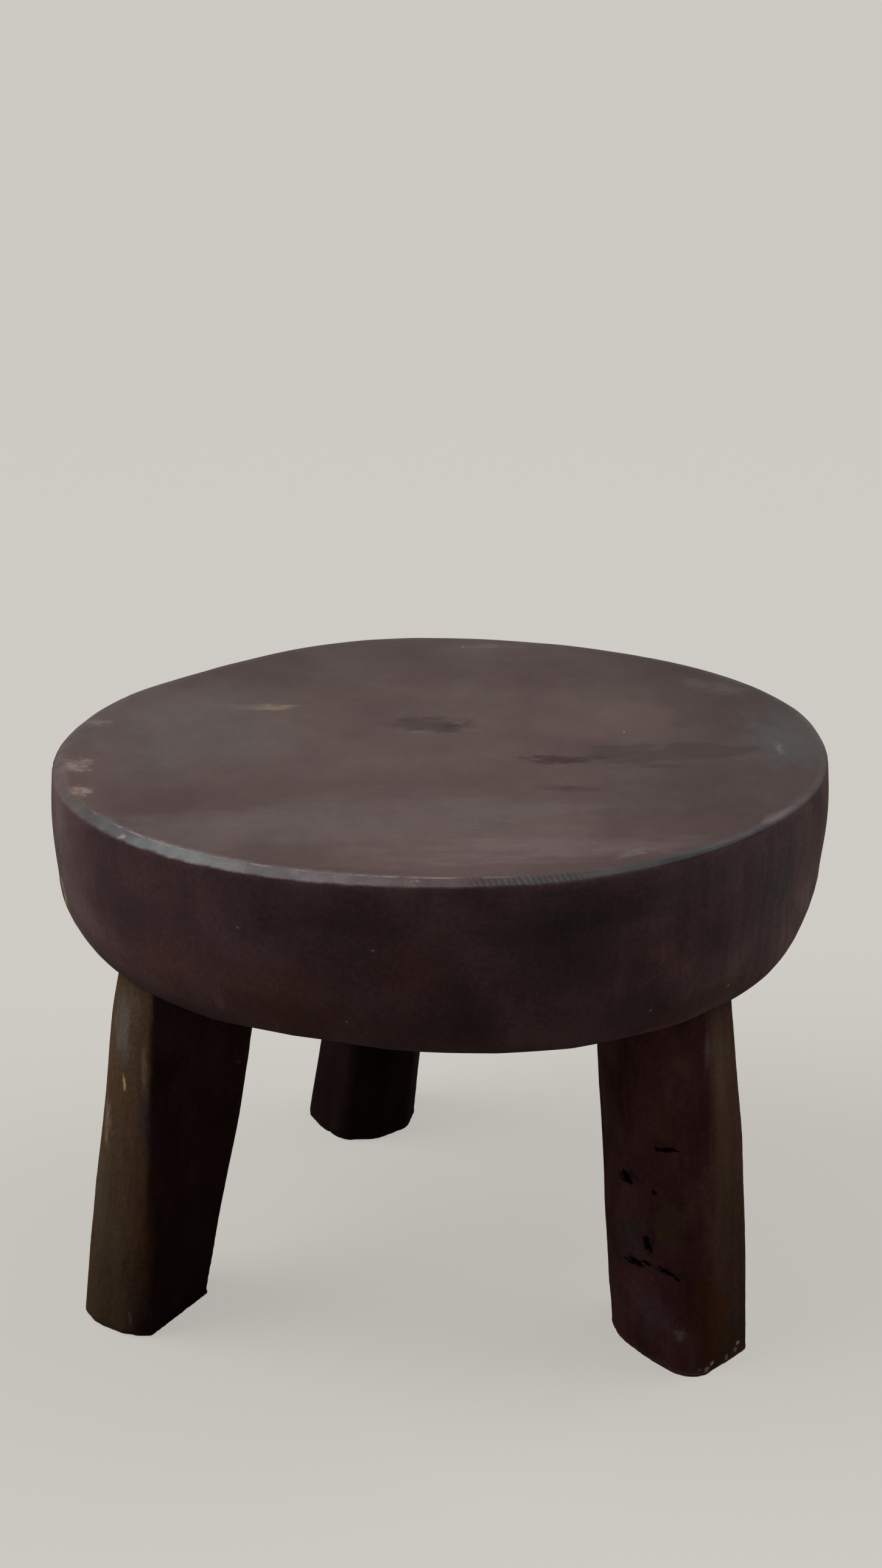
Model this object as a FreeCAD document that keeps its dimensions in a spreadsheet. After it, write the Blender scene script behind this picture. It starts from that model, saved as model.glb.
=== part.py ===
# Round three-legged stool in dark hardwood, all lengths in millimetres.
# The seat is a thick hewn disc with a bevelled rim and a rounded lower edge.
# Each leg is a hewn eight-sided post whose shoulder is scribed to the seat's underside.
# A round tenon on the leg's top goes into a blind mortise in the seat, and a hidden
# fox wedge in the tenon's saw cut spreads it as the leg is driven home.
# Frame: +Z up, -Y to the viewer, origin on the floor under the middle of the seat.
import FreeCAD, Part
import math
import os
import Sketcher
from FreeCAD import Placement, Rotation, Vector

LENGTHS = {
    "stool_height": 292,
    # Seat
    "seat_radius": 200,
    "seat_thickness": 98,
    "rim_bevel_width": 4,
    "rim_bevel_drop": 2.5,
    "side_belly": 1.5,
    "underside_round_height": 42,
    "underside_round_width": 36,
    "underside_tilt_drop": 4,
    # What the three legs share
    "leg_bow": 2,
    "arris_radius": 5,
    "sole_chamfer": 2.5,
    # How far each leg's middle stands in from the seat's nominal radius
    "front_left_inset": 47,
    "front_right_inset": 48.5,
    "back_inset": 79.5,
    # Half the leg's width at the shoulder, halfway down and at the sole
    "front_left_half_top": 36,
    "front_left_half_mid": 35,
    "front_left_half_sole": 33,
    "front_right_half_top": 33,
    "front_right_half_mid": 34.5,
    "front_right_half_sole": 35,
    "back_half_top": 32,
    "back_half_mid": 32,
    "back_half_sole": 34.5,
    # Tenon and blind mortise
    "tenon_radius": 19,
    "tenon_length": 56,
    "tenon_root": 14,
    "tenon_tip_chamfer": 2.5,
    "mortise_clearance": 0.15,
    "mortise_end_gap": 2,
    # Fox wedge and the saw cut that it opens
    "wedge_length": 34,
    "wedge_width": 30,
    "wedge_butt": 5,
    "wedge_tip": 1.2,
    "wedge_clearance": 0.1,
    "kerf_end_gap": 4,
    "cut_overrun": 5,
}

# Where each leg stands round the seat, how far it leans from upright and which way.
ANGLES = {
    "front_left_azimuth": 215.8,
    "front_left_lean": 10,
    "front_left_lean_azimuth": 169,
    "front_right_azimuth": 315.9,
    "front_right_lean": 5.5,
    "front_right_lean_azimuth": 322.5,
    "back_azimuth": 100.5,
    "back_lean": 8.3,
    "back_lean_azimuth": 172,
}

# Radius of the hewn rim at sixteen even stations round the seat, as shares of its nominal
# radius, counted from +X towards +Y. The flat stretch is at the back left.
RIM_SHARES = (
    1.007, 1.017, 1.007, 0.993, 1.003, 0.992, 0.946, 0.977,
    1.000, 1.022, 1.029, 1.015, 1.003, 1.017, 1.010, 1.008,
)

# Corners of each leg's section as shares of its half width, from the left round the front
# (-Y) side: first at the shoulder, then at the sole. The arrises drift between the two.
SECTION_SHARES = {
    "front_left": (
        ((-1.00, 0.05), (-0.95, -0.35), (-0.75, -0.72), (-0.50, -0.92),
         (0.92, -0.48), (1.00, 0.35), (0.20, 1.00), (-0.75, 0.75)),
        ((-1.00, -0.25), (-0.77, -0.63), (-0.17, -1.00), (0.22, -0.99),
         (1.00, 0.23), (0.70, 0.80), (-0.15, 1.00), (-0.85, 0.60)),
    ),
    "front_right": (
        ((-1.00, 0.30), (-0.95, -0.30), (-0.60, -0.85), (0.00, -0.98),
         (0.62, -0.88), (1.00, -0.15), (0.75, 0.70), (-0.40, 1.00)),
        ((-1.00, 0.45), (-0.90, 0.00), (-0.55, -0.50), (-0.11, -0.97),
         (0.25, -1.00), (1.00, -0.31), (0.80, 0.65), (-0.35, 1.00)),
    ),
    "back": (
        ((-1.00, 0.10), (-0.80, -0.50), (-0.38, -0.95), (0.30, -0.98),
         (0.82, -0.55), (1.00, 0.10), (0.55, 0.90), (-0.60, 0.85)),
        ((-1.00, 0.02), (-0.74, -0.50), (-0.34, -0.97), (0.30, -0.95),
         (0.87, -0.50), (1.00, 0.15), (0.55, 0.90), (-0.60, 0.85)),
    ),
}
LEGS = tuple(SECTION_SHARES)
ROUND_STEPS = 4


def make_sheet(doc):
    """Spreadsheet with one aliased cell for each driving dimension."""
    sheet = doc.addObject("Spreadsheet::Sheet", "sizes")
    for row, (name, value) in enumerate({**LENGTHS, **ANGLES}.items(), 1):
        sheet.set(f"A{row}", name)
        sheet.set(f"B{row}", str(value))
        sheet.setAlias(f"B{row}", name)
    doc.recompute()
    return sheet


def along(azimuth, length):
    """Level vector of a length at an azimuth in degrees."""
    angle = math.radians(azimuth)
    return Vector(length * math.cos(angle), length * math.sin(angle), 0)


class LegLine:
    """The straight line that a leg, its tenon, its mortise and its wedge follow."""

    def __init__(self, sheet, leg):
        azimuth = sheet.get(f"{leg}_azimuth")
        self.outward = along(azimuth, 1)
        self.shoulder = along(azimuth, sheet.seat_radius - sheet.get(f"{leg}_inset"))
        self.shoulder.z = sheet.stool_height - sheet.seat_thickness
        slope = math.tan(math.radians(sheet.get(f"{leg}_lean")))
        run = along(sheet.get(f"{leg}_lean_azimuth"), slope)
        self.axis = Vector(-run.x, -run.y, 1).normalize()

    def at_height(self, z):
        """Point of the line at a height above the floor."""
        return self.shoulder + self.axis * ((z - self.shoulder.z) / self.axis.z)

    def frame(self, distance):
        """Placement a distance up the line from the shoulder, with local Z along the line."""
        return Placement(self.shoulder + self.axis * distance, Rotation(Vector(0, 0, 1), self.axis))


def polygon_sketch(body, role, name, corners):
    """Closed polygon on one of the body's origin planes, each corner two sheet expressions."""
    sketch = body.newObject("Sketcher::SketchObject", name)
    plane = next(feature for feature in body.Origin.OriginFeatures if feature.Role == role)
    sketch.AttachmentSupport = [(plane, "")]
    sketch.MapMode = "FlatFace"
    places = [[float(sketch.evalExpression(text)) for text in corner] for corner in corners]
    points = [Vector(x, y, 0) for x, y in places]
    for start, end in zip(points, points[1:] + points[:1]):
        sketch.addGeometry(Part.LineSegment(start, end))
    for index in range(len(points)):
        following = (index + 1) % len(points)
        sketch.addConstraint(Sketcher.Constraint("Coincident", index, 2, following, 1))
    for index, corner in enumerate(corners):
        for kind, value, text in zip(("DistanceX", "DistanceY"), places[index], corner):
            number = sketch.addConstraint(Sketcher.Constraint(kind, -1, 1, index, 1, value))
            sketch.setExpression(f"Constraints[{number}]", text)
    return sketch


def rim_ring(sheet, inset, depth):
    """Closed spline round the seat, inset from the hewn rim, at a depth below its top."""
    points = []
    tilt = sheet.underside_tilt_drop * depth / sheet.seat_thickness
    for station, share in enumerate(RIM_SHARES):
        point = along(360 * station / len(RIM_SHARES), sheet.seat_radius * share - inset)
        point.z = sheet.stool_height - depth - tilt * point.x / sheet.seat_radius
        points.append(point)
    spline = Part.BSplineCurve()
    spline.interpolate(points, PeriodicFlag=True)
    return Part.Wire(spline.toShape())


def make_seat_form(doc, sheet):
    """Hewn disc with its bevelled rim, slightly bellied side and rounded lower edge."""
    wall = sheet.seat_thickness - sheet.underside_round_height
    rim = rim_ring(sheet, 0, sheet.rim_bevel_drop)
    rings = [rim, rim_ring(sheet, -sheet.side_belly, (sheet.rim_bevel_drop + wall) / 2)]
    for step in range(ROUND_STEPS + 1):
        turn = math.radians(90 * step / ROUND_STEPS)
        inset = sheet.underside_round_width * (1 - math.cos(turn))
        depth = wall + sheet.underside_round_height * math.sin(turn)
        rings.append(rim_ring(sheet, inset, depth))
    side = Part.makeLoft(rings, True, False)
    bevel = Part.makeLoft([rim_ring(sheet, sheet.rim_bevel_width, 0), rim], True, True)
    form = doc.addObject("Part::Feature", "seat_form")
    form.Shape = side.fuse(bevel).removeSplitter()
    return form


def make_mortise(doc, leg, line):
    """Blind round hole that takes a leg's tenon, as the solid to cut away."""
    mortise = doc.addObject("Part::Cylinder", f"{leg}_mortise")
    mortise.setExpression("Radius", "sizes.tenon_radius + sizes.mortise_clearance")
    depth = "sizes.tenon_root + sizes.tenon_length + sizes.mortise_end_gap"
    mortise.setExpression("Height", depth)
    mortise.Placement = line.frame(-doc.sizes.tenon_root)
    return mortise


def make_seat(doc, form, mortises):
    """Seat with its three blind mortises."""
    holes = doc.addObject("Part::MultiFuse", "mortises")
    holes.Shapes = mortises
    seat = doc.addObject("Part::Cut", "seat")
    seat.Base = form
    seat.Tool = holes
    return seat


def make_leg_blank(doc, sheet, leg, line):
    """Hewn post lofted from a point inside the seat down to its sole, with eased arrises."""
    body = doc.addObject("PartDesign::Body", f"{leg}_blank")
    top_corners, sole_corners = SECTION_SHARES[leg]
    mid_corners = [
        ((x + sole_x) / 2, (y + sole_y) / 2)
        for (x, y), (sole_x, sole_y) in zip(top_corners, sole_corners)
    ]
    mid_z = line.shoulder.z / 2
    top_z = line.shoulder.z + sheet.underside_round_height + sheet.cut_overrun
    stations = (
        ("top", top_corners, line.at_height(top_z)),
        ("mid", mid_corners, line.at_height(mid_z) + line.outward * sheet.leg_bow),
        ("sole", sole_corners, line.at_height(0)),
    )
    sketches = []
    for place, shares, center in stations:
        half = f"sizes.{leg}_half_{place}"
        corners = [(f"{half} * ({x})", f"{half} * ({y})") for x, y in shares]
        sketch = polygon_sketch(body, "XY_Plane", f"{leg}_{place}", corners)
        sketch.AttachmentOffset = Placement(center, Rotation())
        sketches.append(sketch)
    doc.recompute()
    loft = body.newObject("PartDesign::AdditiveLoft", f"{leg}_loft")
    loft.Profile = sketches[0]
    loft.Sections = sketches[1:]
    doc.recompute()
    arrises = body.newObject("PartDesign::Fillet", f"{leg}_arrises")
    arrises.Base = (loft, rising_edges(loft.Shape, mid_z))
    arrises.setExpression("Radius", "sizes.arris_radius")
    doc.recompute()
    sole_edge = body.newObject("PartDesign::Chamfer", f"{leg}_sole_edge")
    sole_edge.Base = (arrises, floor_edges(arrises.Shape))
    sole_edge.setExpression("Size", "sizes.sole_chamfer")
    return body


def rising_edges(shape, least_rise):
    """Names of the edges that run up the leg."""
    edges = enumerate(shape.Edges, 1)
    return [f"Edge{number}" for number, edge in edges if edge.BoundBox.ZLength > least_rise]


def floor_edges(shape):
    """Names of the edges that lie on the floor."""
    edges = enumerate(shape.Edges, 1)
    flat = Part.Precision.confusion()
    return [f"Edge{number}" for number, edge in edges if edge.BoundBox.ZMax < flat]


def make_tenon(doc, sheet, leg, line):
    """Round tenon with a chamfered tip, sawn down its middle for the wedge."""
    body = doc.addObject("PartDesign::Body", f"{leg}_tenon")
    body.Placement = line.frame(-sheet.tenon_root)
    length = "sizes.tenon_root + sizes.tenon_length"
    profile = (
        ("0", "0"),
        ("sizes.tenon_radius", "0"),
        ("sizes.tenon_radius", f"{length} - sizes.tenon_tip_chamfer"),
        ("sizes.tenon_radius - sizes.tenon_tip_chamfer", length),
        ("0", length),
    )
    half = polygon_sketch(body, "XZ_Plane", f"{leg}_tenon_half", profile)
    peg = body.newObject("PartDesign::Revolution", f"{leg}_peg")
    peg.Profile = half
    peg.ReferenceAxis = (half, ["V_Axis"])
    doc.recompute()

    wedge_foot = f"{length} + sizes.mortise_end_gap - sizes.wedge_length"
    slope = "(sizes.wedge_butt - sizes.wedge_tip) / (2 * sizes.wedge_length)"
    narrow = "(sizes.wedge_tip / 2 + sizes.wedge_clearance)"
    wide = f"({narrow} + {slope} * (sizes.wedge_length + sizes.cut_overrun))"
    mouth = f"{wedge_foot} + sizes.wedge_length + sizes.cut_overrun"
    cut = (
        (f"-{wide}", mouth),
        (f"-{narrow}", wedge_foot),
        (f"-{narrow}", f"{wedge_foot} - sizes.kerf_end_gap"),
        (narrow, f"{wedge_foot} - sizes.kerf_end_gap"),
        (narrow, wedge_foot),
        (wide, mouth),
    )
    slot = polygon_sketch(body, "XZ_Plane", f"{leg}_kerf_slot", cut)
    kerf = body.newObject("PartDesign::Pocket", f"{leg}_kerf")
    kerf.Profile = slot
    kerf.Midplane = True
    kerf.setExpression("Length", "2 * (sizes.tenon_radius + sizes.cut_overrun)")
    return body


def make_leg(doc, sheet, leg, line, form):
    """Hewn post scribed to the underside of the seat, in one piece with its tenon."""
    scribed = doc.addObject("Part::Cut", f"{leg}_scribed")
    scribed.Base = make_leg_blank(doc, sheet, leg, line)
    scribed.Tool = form
    piece = doc.addObject("Part::Fuse", f"leg_{leg}")
    piece.Base = scribed
    piece.Tool = make_tenon(doc, sheet, leg, line)
    return piece


def make_wedge(doc, sheet, leg, line):
    """Fox wedge whose butt bears on the mortise's floor, across the grain of the seat."""
    body = doc.addObject("PartDesign::Body", f"wedge_{leg}")
    body.Placement = line.frame(
        sheet.tenon_length + sheet.mortise_end_gap - sheet.wedge_length
    )
    outline = (
        ("-sizes.wedge_tip / 2", "0"),
        ("sizes.wedge_tip / 2", "0"),
        ("sizes.wedge_butt / 2", "sizes.wedge_length"),
        ("-sizes.wedge_butt / 2", "sizes.wedge_length"),
    )
    side = polygon_sketch(body, "XZ_Plane", f"{leg}_wedge_side", outline)
    pad = body.newObject("PartDesign::Pad", f"{leg}_wedge_pad")
    pad.Profile = side
    pad.Midplane = True
    pad.setExpression("Length", "sizes.wedge_width")
    return body


def check(doc, pieces):
    """Stop before anything is written if an object failed or a piece isn't one valid solid."""
    failed = [o.Name for o in doc.Objects if {"Invalid", "Error"} & set(o.State)]
    if failed:
        raise RuntimeError(f"objects that failed: {', '.join(failed)}")
    for piece in pieces:
        shape = piece.Shape
        if shape.isNull() or not shape.isValid() or len(shape.Solids) != 1:
            raise RuntimeError(f"{piece.Label} is not one valid solid")


def main():
    doc = FreeCAD.newDocument("stool")
    sheet = make_sheet(doc)
    form = make_seat_form(doc, sheet)
    lines = {leg: LegLine(sheet, leg) for leg in LEGS}
    mortises = [make_mortise(doc, leg, line) for leg, line in lines.items()]
    pieces = [make_seat(doc, form, mortises)]
    for leg, line in lines.items():
        pieces.append(make_leg(doc, sheet, leg, line, form))
        pieces.append(make_wedge(doc, sheet, leg, line))
    doc.recompute()
    check(doc, pieces)
    os.makedirs("parts", exist_ok=True)
    for piece in pieces:
        piece.Shape.exportStep(f"parts/{piece.Label}.step")
        print(f"{piece.Label}: {piece.Shape.Volume / 1000:.1f} cm3")


main()
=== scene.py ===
# A round stool on three stout legs, hewn from dark hardwood and worn smooth.
# Metres, +Z up, origin on the floor under the middle of the seat, the viewer on the -Y side.
import math
import random

import bmesh
import bpy
import numpy as np
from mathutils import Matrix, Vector, noise


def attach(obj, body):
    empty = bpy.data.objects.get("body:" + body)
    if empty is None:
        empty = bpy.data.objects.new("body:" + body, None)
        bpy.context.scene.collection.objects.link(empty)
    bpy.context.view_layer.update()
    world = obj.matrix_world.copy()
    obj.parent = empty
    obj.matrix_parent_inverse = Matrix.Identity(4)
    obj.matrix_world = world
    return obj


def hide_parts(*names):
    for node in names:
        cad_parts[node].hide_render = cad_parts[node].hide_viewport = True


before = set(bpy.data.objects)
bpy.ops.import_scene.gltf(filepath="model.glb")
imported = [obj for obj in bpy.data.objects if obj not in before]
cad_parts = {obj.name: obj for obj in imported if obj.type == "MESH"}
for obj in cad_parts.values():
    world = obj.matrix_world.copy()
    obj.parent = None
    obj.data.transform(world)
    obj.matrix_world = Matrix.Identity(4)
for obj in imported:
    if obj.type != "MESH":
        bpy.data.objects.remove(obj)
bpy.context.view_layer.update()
mm = 0.001
closeBy = 0.1 * mm  # points nearer than this are taken as one
print("frame loaded")


# Small helpers

def only(piece):
    bpy.ops.object.select_all(action="DESELECT")
    piece.select_set(True)
    bpy.context.view_layer.objects.active = piece


def begin(name, addPrimitive, **settings):
    bpy.ops.object.select_all(action="DESELECT")
    addPrimitive(**settings)
    piece = bpy.context.object
    piece.name = name
    piece.data.name = name
    return piece


def edit(piece, kind="VERT"):
    only(piece)
    bpy.ops.object.mode_set(mode="EDIT")
    bpy.ops.mesh.select_mode(type=kind)


def leaveEdit():
    bpy.ops.object.mode_set(mode="OBJECT")


def pickEdges(piece, wanted):  # in edit mode, edges by where they lie
    bpy.ops.mesh.select_all(action="DESELECT")
    mesh = bmesh.from_edit_mesh(piece.data)
    for edge in mesh.edges:
        if wanted(edge.verts[0].co, edge.verts[1].co):
            edge.select_set(True)
    bmesh.update_edit_mesh(piece.data)


def pickFaces(piece, wanted):  # in edit mode, faces by middle and normal
    bpy.ops.mesh.select_all(action="DESELECT")
    mesh = bmesh.from_edit_mesh(piece.data)
    for face in mesh.faces:
        if wanted(face.calc_center_median(), face.normal):
            face.select_set(True)
    bmesh.update_edit_mesh(piece.data)


def modify(piece, kind, **settings):
    only(piece)
    bpy.ops.object.modifier_add(type=kind)
    modifier = piece.modifiers[-1]
    for name, value in settings.items():
        setattr(modifier, name, value)
    bpy.ops.object.modifier_apply(modifier=modifier.name)


def carve(piece, tool, operation="DIFFERENCE"):
    modify(piece, "BOOLEAN", operation=operation, object=tool, solver="MANIFOLD")
    bpy.data.objects.remove(tool)


def duplicate(piece, name):
    twin = piece.copy()
    twin.data = piece.data.copy()
    twin.name = name
    bpy.context.scene.collection.objects.link(twin)
    return twin


def settle(piece):
    only(piece)
    bpy.ops.object.transform_apply(location=True, rotation=True, scale=True)


def sculpt(piece, liftAt):  # push each point along its normal
    mesh = piece.data
    lifts = [liftAt(vertex.co, vertex.normal) for vertex in mesh.vertices]
    normals = [vertex.normal.copy() for vertex in mesh.vertices]
    for vertex, normal, lift in zip(mesh.vertices, normals, lifts):
        vertex.co += normal * lift
    mesh.update()


def keep(piece, name, values, kind="FLOAT"):  # one value for each point, for the materials
    layer = piece.data.attributes.new(name, kind, "POINT")
    layer.data.foreach_set("vector" if kind == "FLOAT_VECTOR" else "value", values)


def turnTo(angle, other):  # degrees between two bearings, 0 to 180
    return abs((angle - other + 180) % 360 - 180)


def ripple(place, size, seed=0.0):  # about -1 to 1, in swells of the given size
    return noise.noise(Vector(place) / size + Vector((seed, -seed, 0.5 * seed)))


def scoop(place, size, seed=0.0):  # bowls that meet in ridges, 0 in a bowl and near 1 on a ridge
    nearest = noise.voronoi(Vector(place) / size + Vector((seed, seed, seed)))[0][0]
    return min(nearest, 1.0) ** 2


def dented(place, dents, seed=0):  # swells of several sizes added up, each a lift, a size and a seed
    return sum(lift * ripple(place, size, seed + step) for lift, size, step in dents)


def edgeCurve(piece):  # how sharply the surface turns away at each point, near 0 where it is flat
    mesh = bmesh.new()
    mesh.from_mesh(piece.data)
    bends = []
    for vertex in mesh.verts:
        bend = 0.0
        for edge in vertex.link_edges:
            away = edge.other_vert(vertex).co - vertex.co
            bend -= away.normalized().dot(vertex.normal)
        bends.append(bend / max(len(vertex.link_edges), 1))
    smooth = []
    for vertex in mesh.verts:
        near = [bends[edge.other_vert(vertex).index] for edge in vertex.link_edges]
        smooth.append(0.5 * bends[vertex.index] + 0.5 * sum(near) / max(len(near), 1))
    mesh.free()
    return smooth


def fade(value, start, end):  # 0 at start, 1 at end, smooth between
    share = min(max((value - start) / (end - start), 0.0), 1.0)
    return share * share * (3 - 2 * share)


def bell(value, middle, reach):  # 1 in the middle, fading out past its reach on both sides
    return math.exp(-((value - middle) / reach) ** 2)


# Seat: a disc hewn by hand, so its rim wanders

seatShape = {
    "stations": 440,
    "radius": 200 * mm,
    "top": 292 * mm,
    "thickness": 98 * mm,
    "hub": 6 * mm,
    "bevelWidth": 5.5 * mm,
    "bevelDrop": 3.3 * mm,
    "belly": 1.5 * mm,
    "roundHeight": 42 * mm,
    "roundWidth": 36 * mm,
    "tiltDrop": 4 * mm,
    "topStep": 5.5 * mm,
    "sideStep": 2.8 * mm,
    "roundSteps": 14,
    "bevelSteps": 8,
    "edgeEase": 0.7 * mm,
    # how far the bevel's change of width is felt, in bevel widths on the top and drops on the side
    "settleWidths": 4,
    "settleDrops": 6,
    # a narrow bevel drops less, and is rounded off fully at the lower of these shares of its width
    "leastDropShare": 0.4,
    "roundedShares": (0.95, 0.6),
    # what the tools left, as lift, size and seed: dents, and bowls that meet in ridges
    "sideDents": ((0.8 * mm, 62 * mm, 3), (0.25 * mm, 21 * mm, 7)),
    "sideBowls": (0.35 * mm, 27 * mm, 2),
    "underBowls": (0.9 * mm, 31 * mm, 5),
    "topDents": ((0.22 * mm, 70 * mm, 11), (0.06 * mm, 16 * mm, 4)),
    "topWear": 0.2 * mm,
    # nicks along the rim: how deep, how far down, and size and seed of the large and the small ones
    "nickDepth": 0.45 * mm,
    "nickReach": 2.2 * mm,
    "nickSizes": ((9 * mm, 21), (3.5 * mm, 17)),
    # nicks fade in between these shares of the radius, and none lies further in
    "nickShares": (0.9, 0.93),
    # radius at sixteen stations from +X towards +Y, as shares of the nominal one
    "rimShares": (
        1.007, 1.017, 1.007, 0.993, 1.003, 0.992, 0.946, 0.977,
        1.000, 1.022, 1.029, 1.015, 1.003, 1.017, 1.010, 1.008,
    ),
    # the bevel's width round the rim as shares of the nominal one, at the same stations
    "bevelShares": (
        0.45, 0.45, 0.5, 0.5, 0.5, 0.5, 0.6, 0.75,
        0.9, 1.0, 1.05, 1.0, 0.9, 0.75, 0.5, 0.45,
    ),
    # where the side bulges or was hewn deeper: bearing and spread in degrees, depth, reach and lift
    "swells": (
        (-27, 17, 52 * mm, 24 * mm, -4.2 * mm),
        (-40, 14, 88 * mm, 11 * mm, 1.9 * mm),
        (250, 15, 84 * mm, 18 * mm, -2.6 * mm),
        (-6, 14, 44 * mm, 26 * mm, 1.5 * mm),
        (-8, 13, 90 * mm, 15 * mm, -3.2 * mm),
    ),
}


def roundSpline(values):  # smooth closed curve through even stations, read by angle
    count = len(values)
    pull = np.zeros((count, count))
    turn = np.zeros(count)
    for index in range(count):
        before, after = (index - 1) % count, (index + 1) % count
        pull[index, before] = pull[index, after] = 1
        pull[index, index] = 4
        turn[index] = 6 * (values[after] - 2 * values[index] + values[before])
    bend = np.linalg.solve(pull, turn)

    def read(angle):
        at = (angle / (2 * math.pi) * count) % count
        here = int(at) % count
        ahead = (here + 1) % count
        near, far = at - int(at), 1 - at + int(at)
        curve = (far ** 3 - far) * bend[here] + (near ** 3 - near) * bend[ahead]
        return float(far * values[here] + near * values[ahead] + curve / 6)

    return read


rimShareAt = roundSpline(seatShape["rimShares"])
bevelShareAt = roundSpline(seatShape["bevelShares"])


def seatProfile():  # rings from the middle of the top round to the middle of the underside
    s = seatShape
    rings = []
    inset = s["radius"] - s["hub"]
    while inset > s["bevelWidth"] + 0.5 * s["topStep"]:
        rings.append((inset, 0.0))
        inset -= s["topStep"]
    for step in range(s["bevelSteps"] + 1):
        share = step / s["bevelSteps"]
        rings.append((s["bevelWidth"] * (1 - share), s["bevelDrop"] * share))
    wall = s["thickness"] - s["roundHeight"]
    sideSteps = round((wall - s["bevelDrop"]) / s["sideStep"])
    for step in range(1, sideSteps + 1):
        share = step / sideSteps
        swell = s["belly"] * math.sin(math.pi * share)
        rings.append((-swell, s["bevelDrop"] + (wall - s["bevelDrop"]) * share))
    for step in range(1, s["roundSteps"] + 1):
        turn = 0.5 * math.pi * step / s["roundSteps"]
        rings.append((s["roundWidth"] * (1 - math.cos(turn)), wall + s["roundHeight"] * math.sin(turn)))
    inset = s["roundWidth"] + s["topStep"]
    while inset < s["radius"] - s["hub"]:
        rings.append((inset, s["thickness"]))
        inset += s["topStep"]
    return rings


def seatPlace(point):  # a turned disc's point moved to where the hewn disc has it
    s = seatShape
    angle = math.atan2(point.y, point.x)
    reach = math.hypot(point.x, point.y)
    inset, depth = s["radius"] - reach, s["top"] - point.z
    share = bevelShareAt(angle)
    settleIn = s["settleWidths"] * s["bevelWidth"]
    outward = 1 - inset / s["bevelWidth"]
    if depth <= s["bevelDrop"] and inset < settleIn:
        wide = s["bevelWidth"] * share
        if inset <= s["bevelWidth"]:
            inset *= share
        else:
            inset = wide + (inset - s["bevelWidth"]) * (settleIn - wide) / (settleIn - s["bevelWidth"])
    if depth <= s["bevelDrop"] and 0 < outward < 1:  # a narrow bevel is rounded off
        rounded = (1 - math.sqrt(1 - outward ** 2)) / outward
        depth *= 1 + (rounded - 1) * fade(share, *s["roundedShares"])
    dropShare = s["leastDropShare"] + (1 - s["leastDropShare"]) * share
    deep = s["settleDrops"] * s["bevelDrop"]
    if depth <= s["bevelDrop"]:
        depth *= dropShare
    elif depth < deep:
        low = s["bevelDrop"] * dropShare
        depth = low + (depth - s["bevelDrop"]) * (deep - low) / (deep - s["bevelDrop"])
    cap = s["roundWidth"]
    shrink = (s["radius"] - inset) / (s["radius"] - min(inset, cap))
    newReach = (s["radius"] * rimShareAt(angle) - min(inset, cap)) * shrink
    x, y = newReach * math.cos(angle), newReach * math.sin(angle)
    tilt = s["tiltDrop"] * depth / s["thickness"]
    return Vector((x, y, s["top"] - depth - tilt * x / s["radius"]))


def hewSeat(co, normal):  # how far the tools left the surface from the smooth form
    s = seatShape
    depth = s["top"] - co.z
    # top, underside or side, told by how far the surface faces up or down
    onTop = fade(normal.z, 0.75, 0.97)
    under = fade(-normal.z, 0.55, 0.9)
    side = 1 - onTop - under
    lift = side * dented(co, s["sideDents"])
    bowl, size, seed = s["sideBowls"]
    lift += side * bowl * (scoop((co.x, co.y, 0.6 * co.z), size, seed) - 0.4)
    bowl, size, seed = s["underBowls"]
    lift += under * bowl * (scoop(co, size, seed) - 0.5)
    lift += onTop * (dented(co, s["topDents"]) - s["topWear"])
    bearing = math.degrees(math.atan2(co.y, co.x))
    for azimuth, spread, middle, height, swell in s["swells"]:
        lift += (1 - onTop) * swell * bell(turnTo(bearing, azimuth), 0, spread) * bell(depth, middle, height)
    outside = fade(math.hypot(co.x, co.y) / s["radius"], *s["nickShares"])
    edge = bell(depth, s["bevelDrop"], s["nickReach"]) * outside
    large, small = [ripple(co, size, seed) for size, seed in s["nickSizes"]]
    nick = fade(large, 0.25, 0.7) + 0.5 * fade(small, 0.3, 0.7)
    return lift - edge * s["nickDepth"] * nick


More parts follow.
